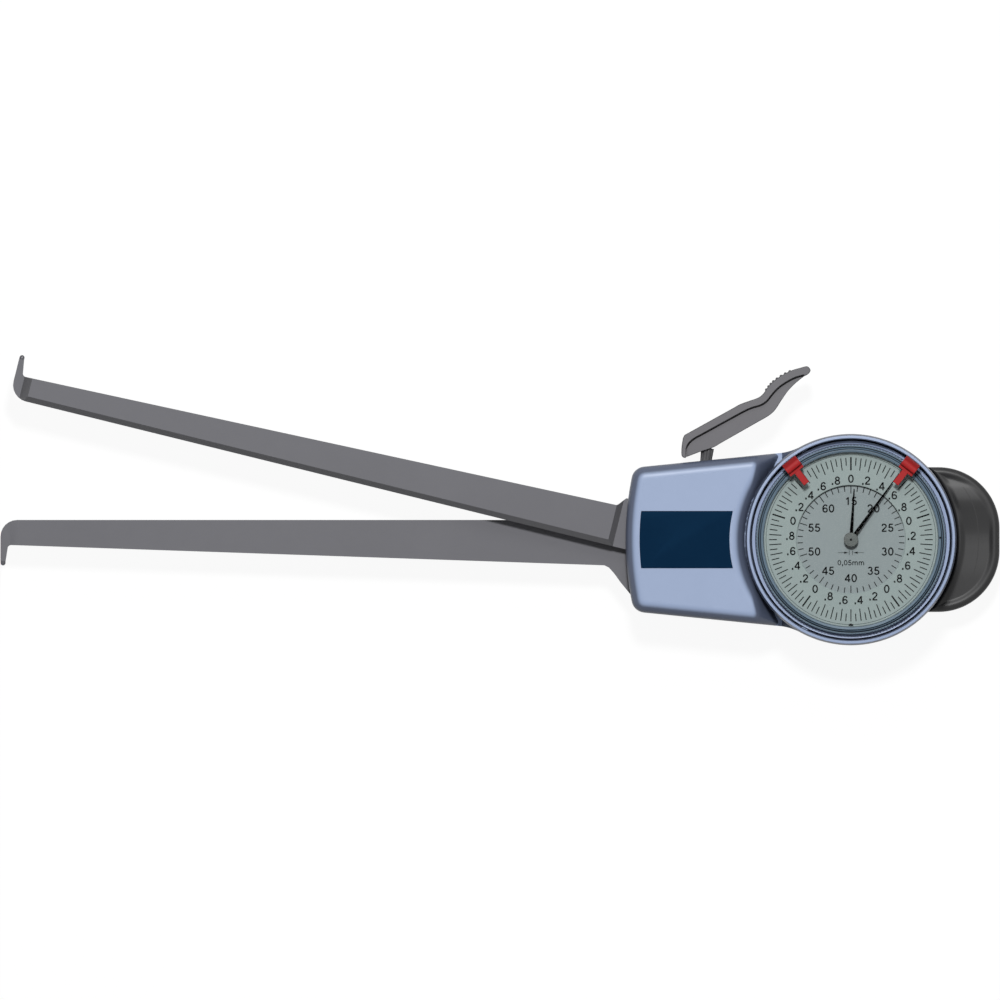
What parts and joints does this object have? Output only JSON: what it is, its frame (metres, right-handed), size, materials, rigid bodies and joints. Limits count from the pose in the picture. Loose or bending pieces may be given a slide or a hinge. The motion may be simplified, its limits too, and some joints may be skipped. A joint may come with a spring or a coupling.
{
  "type": "internal caliper gauge",
  "caption": "Hand-held internal caliper gauge with two long hooked arms, a release lever, a round dial with two pointers and two red tolerance markers, and a black thumb grip.",
  "frame": {"origin": "on the dial's axis, in the plane of the grip's flat back that the gauge lies on", "axes": "+X from the contacts towards the grip's end, +Y from the moving arm towards the release lever, +Z along the dial's axis, out of the dial"},
  "size_m": [0.3104, 0.0901, 0.0342],
  "materials": {
    "casing": "satin coated",
    "cover": "satin coated",
    "seal": "matte",
    "screw_steel": "satin",
    "label": "satin",
    "grip": "satin",
    "arm": "anodised satin",
    "contact": "polished",
    "hub": "satin",
    "brass": "satin",
    "pin_steel": "polished",
    "spring_steel": "bright",
    "sleeve": "satin",
    "lever": "satin",
    "pointer": "satin",
    "cap": "satin",
    "bezel": "satin",
    "dial": "matte painted",
    "carrier": "matte",
    "crystal": "clear",
    "marker": "satin"
  },
  "bodies": {
    "case": {"front_casing": "casing", "rear_cover": "cover", "cover_seal": "seal", "cover_screws": "screw_steel", "name_plate": "label", "grip": "grip", "grip_screws": "screw_steel", "mouth_seal": "seal", "slot_seal": "seal", "fixed_arm": "arm", "fixed_arm_screws": "screw_steel", "fixed_contact": "contact", "pivot_shaft": "pin_steel", "pivot_washer": "pin_steel", "pivot_bridge": "hub", "bridge_screws": "screw_steel", "return_spring": "spring_steel", "spring_anchor_pin": "pin_steel", "stop_pin": "pin_steel", "movement_back_plate": "brass", "movement_front_plate": "brass", "plate_pillars": "brass", "plate_screws": "screw_steel", "movement_screws": "screw_steel", "hairspring": "spring_steel", "hairspring_stud": "pin_steel", "bezel_retainer": "spring_steel"},
    "moving_arm_unit": {"moving_arm": "arm", "moving_contact": "contact", "arm_hub": "hub", "hub_screws": "screw_steel", "pivot_bush": "brass", "spring_arm_pin": "pin_steel", "gear_sector": "brass", "lever_stem": "pin_steel", "stem_sleeve": "sleeve", "slot_shutter": "sleeve", "release_lever": "lever"},
    "first_gear": {"first_arbor": "pin_steel", "first_wheel": "brass"},
    "second_gear": {"second_arbor": "pin_steel", "second_wheel": "brass"},
    "long_hand": {"centre_arbor": "pin_steel", "long_pointer": "pointer", "pointer_cap": "cap"},
    "short_hand": {"pipe_wheel": "brass", "short_pointer": "pointer"},
    "take_up_gear": {"take_up_arbor": "pin_steel", "take_up_wheel": "brass"},
    "bezel": {"bezel_ring": "bezel", "bezel_seal": "seal", "dial_plate": "dial", "dial_carrier": "carrier", "crystal": "crystal"},
    "left_marker": {"left_tolerance_marker": "marker"},
    "right_marker": {"right_tolerance_marker": "marker"}
  },
  "joints": [
    {"name": "arm_swing", "type": "hinge", "parent": "case", "child": "moving_arm_unit", "pos_m": [-0.048, 0, 0.0176], "axis": [0, 0, -1], "range_deg": [0, 13.6], "stiffness_Nm_per_rad": 0.5, "springref_deg": -22.92, "deforming": ["return_spring"]},
    {"name": "first_gear_spin", "type": "hinge", "parent": "case", "child": "first_gear", "pos_m": [-0.01373, 0.00604, 0.02], "axis": [0, 0, 1], "range_deg": [0, 183.6]},
    {"name": "second_gear_spin", "type": "hinge", "parent": "case", "child": "second_gear", "pos_m": [-0.00258, 0.01049, 0.02], "axis": [0, 0, 1], "range_deg": [-734.4, 0]},
    {"name": "long_pointer_spin", "type": "hinge", "parent": "case", "child": "long_hand", "pos_m": [0, 0, 0.02], "axis": [0, 0, 1], "range_deg": [0, 3672]},
    {"name": "short_pointer_spin", "type": "hinge", "parent": "case", "child": "short_hand", "pos_m": [0, 0, 0.025], "axis": [0, 0, 1], "range_deg": [0, 367.2]},
    {"name": "take_up_spin", "type": "hinge", "parent": "case", "child": "take_up_gear", "pos_m": [0.0054, -0.00935, 0.02], "axis": [0, 0, 1], "range_deg": [-734.4, 0]},
    {"name": "bezel_turn", "type": "hinge", "parent": "case", "child": "bezel", "pos_m": [0, 0, 0.0285], "axis": [0, 0, 1], "range_deg": [-18, 18]},
    {"name": "left_marker_slide", "type": "hinge", "parent": "bezel", "child": "left_marker", "pos_m": [0, 0, 0.0315], "axis": [0, 0, 1], "range_deg": [-28.4, 131.6]},
    {"name": "right_marker_slide", "type": "hinge", "parent": "bezel", "child": "right_marker", "pos_m": [0, 0, 0.0315], "axis": [0, 0, 1], "range_deg": [-131.6, 28.4]}
  ],
  "couplings": [
    {"joint": "first_gear_spin", "follows": "arm_swing", "ratio": 13.5},
    {"joint": "second_gear_spin", "follows": "arm_swing", "ratio": -54},
    {"joint": "long_pointer_spin", "follows": "arm_swing", "ratio": 270},
    {"joint": "short_pointer_spin", "follows": "arm_swing", "ratio": 27},
    {"joint": "take_up_spin", "follows": "arm_swing", "ratio": -54}
  ]
}
